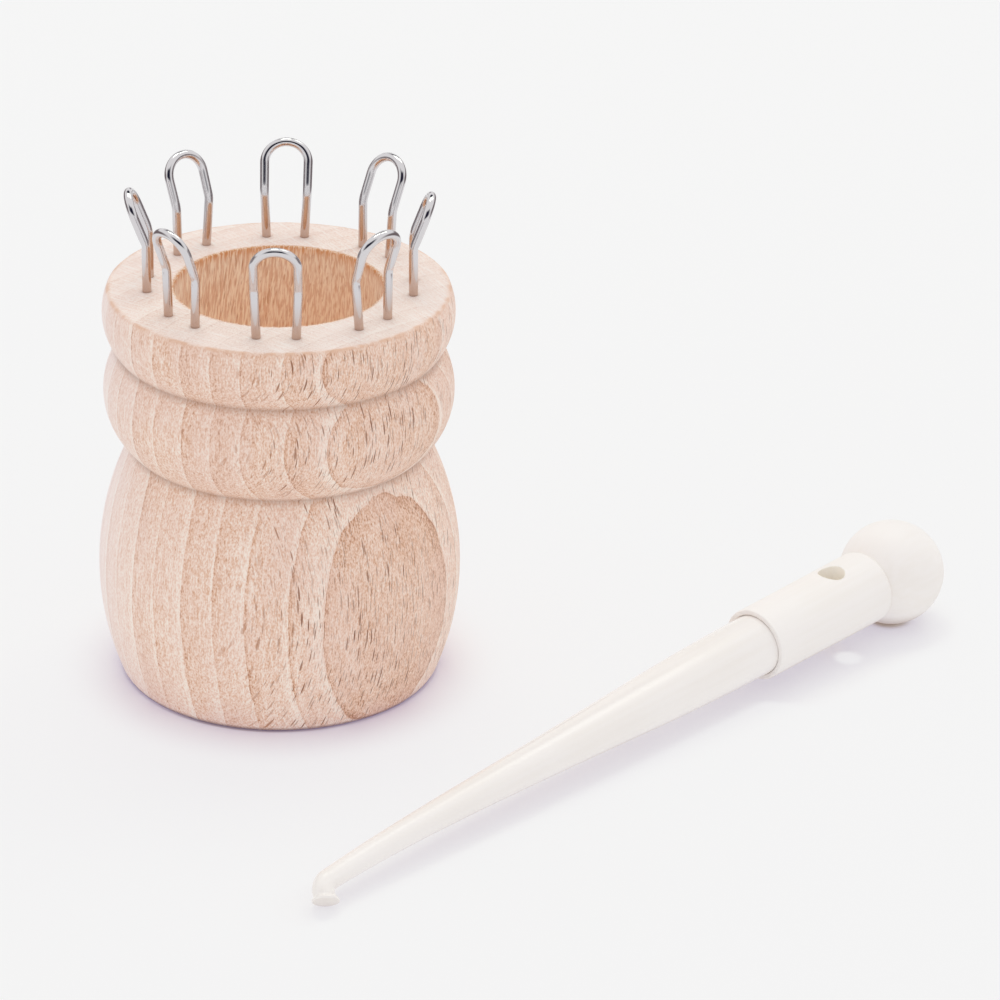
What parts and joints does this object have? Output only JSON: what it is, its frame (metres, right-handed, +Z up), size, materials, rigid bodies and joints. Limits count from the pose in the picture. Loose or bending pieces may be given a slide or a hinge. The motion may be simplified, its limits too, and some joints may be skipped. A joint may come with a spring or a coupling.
{
  "type": "knitting spool with hook tool",
  "caption": "Turned wooden knitting spool with bent wire loops round an open bore, and a ball-ended plastic hook tool lying beside it.",
  "frame": {"origin": "centre of the cord bore where it meets the base, on the table", "axes": "+Z up along the bore axis; wire_loop_1 points along -Y; the hook tool lies on the +X side, its hook towards -Y"},
  "size_m": [0.1573, 0.1246, 0.0919],
  "materials": {
    "beech": "bare turned beech, fine sanded",
    "chrome_wire": "bright plated",
    "cream_plastic": "glossy moulding"
  },
  "bodies": {
    "spool": {"spool_body": "beech", "wire_loop_1": "chrome_wire", "wire_loop_2": "chrome_wire", "wire_loop_3": "chrome_wire", "wire_loop_4": "chrome_wire", "wire_loop_5": "chrome_wire", "wire_loop_6": "chrome_wire", "wire_loop_7": "chrome_wire", "wire_loop_8": "chrome_wire"},
    "hook_tool": {"ball_handle": "cream_plastic", "hook_shaft": "cream_plastic"}
  },
  "joints": [
    {"name": "tool_lift", "type": "slide", "parent": "spool", "child": "hook_tool", "axis": [0, 0, 1], "range_m": [0, 0.12]}
  ]
}
